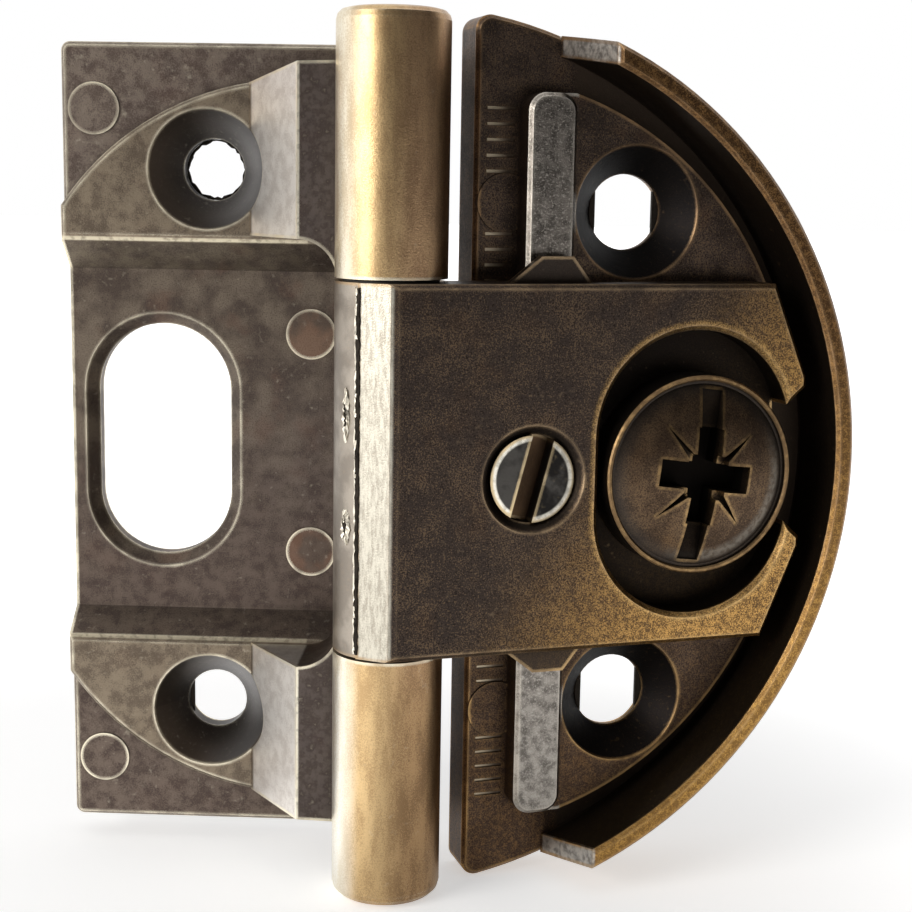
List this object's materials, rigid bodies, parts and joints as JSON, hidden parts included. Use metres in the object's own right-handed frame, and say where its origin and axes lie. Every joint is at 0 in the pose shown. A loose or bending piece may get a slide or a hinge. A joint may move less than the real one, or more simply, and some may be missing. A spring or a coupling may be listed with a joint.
{
  "type": "surface mounted hinge",
  "caption": "Surface mounted hinge in antique brass: a frame leaf with oblong window, and an arm clamped on a D-shaped door plate with a height scale.",
  "frame": {"origin": "middle of the frame leaf's two screw holes, on its mounting face", "axes": "+Z along the pin, upwards; -Y out of the frame leaf's front; +X from the frame leaf towards the door plate"},
  "size_m": [0.0539, 0.0178, 0.0576],
  "materials": {
    "aged_brass": "antique brass patina on die-cast zinc",
    "dark_steel": "dark plated steel",
    "pin_steel": "ground steel",
    "nylon": "black nylon"
  },
  "bodies": {
    "frame": {"frame_leaf": "aged_brass", "hinge_pin": "pin_steel"},
    "arm": {"door_arm": "aged_brass", "upper_bush": "nylon", "lower_bush": "nylon"},
    "plate": {"base_plate": "aged_brass"},
    "clamp": {"clamp_screw": "dark_steel"},
    "adjuster": {"adjusting_screw": "dark_steel"}
  },
  "joints": [
    {"name": "leaf_swing", "type": "hinge", "parent": "frame", "child": "arm", "pos_m": [0.013, -0.0105, 0], "axis": [0, 0, -1], "range_deg": [-30, 195]},
    {"name": "height_adjustment", "type": "slide", "parent": "arm", "child": "plate", "axis": [0, 0, 1], "range_m": [-0.002, 0.002]},
    {"name": "clamp_turn", "type": "hinge", "parent": "plate", "child": "clamp", "pos_m": [0.03337, -0.00819, -0.0005], "axis": [0.342, -0.9397, 0], "range_deg": [-15, 360]},
    {"name": "adjuster_turn", "type": "hinge", "parent": "arm", "child": "adjuster", "pos_m": [0.02227, -0.01128, -0.0005], "axis": [0.342, -0.9397, 0], "range_deg": [-360, 360]}
  ]
}
